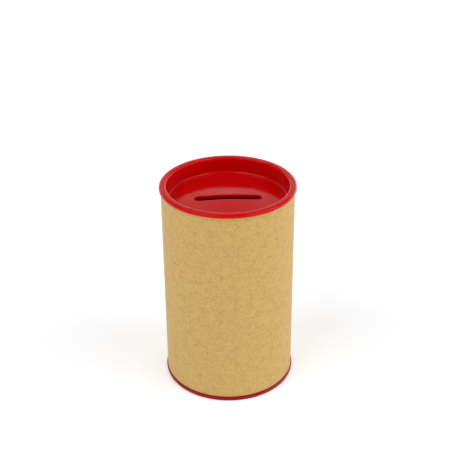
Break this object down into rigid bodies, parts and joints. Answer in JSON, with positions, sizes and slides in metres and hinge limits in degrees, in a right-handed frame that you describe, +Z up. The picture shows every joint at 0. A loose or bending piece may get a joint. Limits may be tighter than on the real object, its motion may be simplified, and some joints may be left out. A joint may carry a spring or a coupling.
{
  "type": "collection box",
  "caption": "Round card collection box wrapped in kraft paper, with a recessed, slotted red plastic plug lid and a red plastic plug base.",
  "frame": {"origin": "centre of the base, on the surface that the box stands on", "axes": "+Z up along the tube, +X along the coin slot, -Y towards the viewer, opposite the wrap's overlap"},
  "size_m": [0.0772, 0.0772, 0.1223],
  "materials": {
    "red_plastic": "glossy moulded",
    "kraft_paper": "natural brown, uncoated",
    "tube_board": "raw, spiral wound",
    "liner_paper": "uncoated"
  },
  "bodies": {
    "base": {"base_cap": "red_plastic"},
    "tube": {"kraft_wrap": "kraft_paper", "outer_board_ply": "tube_board", "middle_board_ply": "tube_board", "inner_board_ply": "tube_board", "liner_ply": "liner_paper"},
    "lid": {"lid": "red_plastic"}
  },
  "joints": [
    {"name": "tube_pull", "type": "slide", "parent": "base", "child": "tube", "axis": [0, 0, 1], "range_m": [0, 0.03]},
    {"name": "lid_pull", "type": "slide", "parent": "tube", "child": "lid", "axis": [0, 0, 1], "range_m": [0, 0.03]}
  ]
}
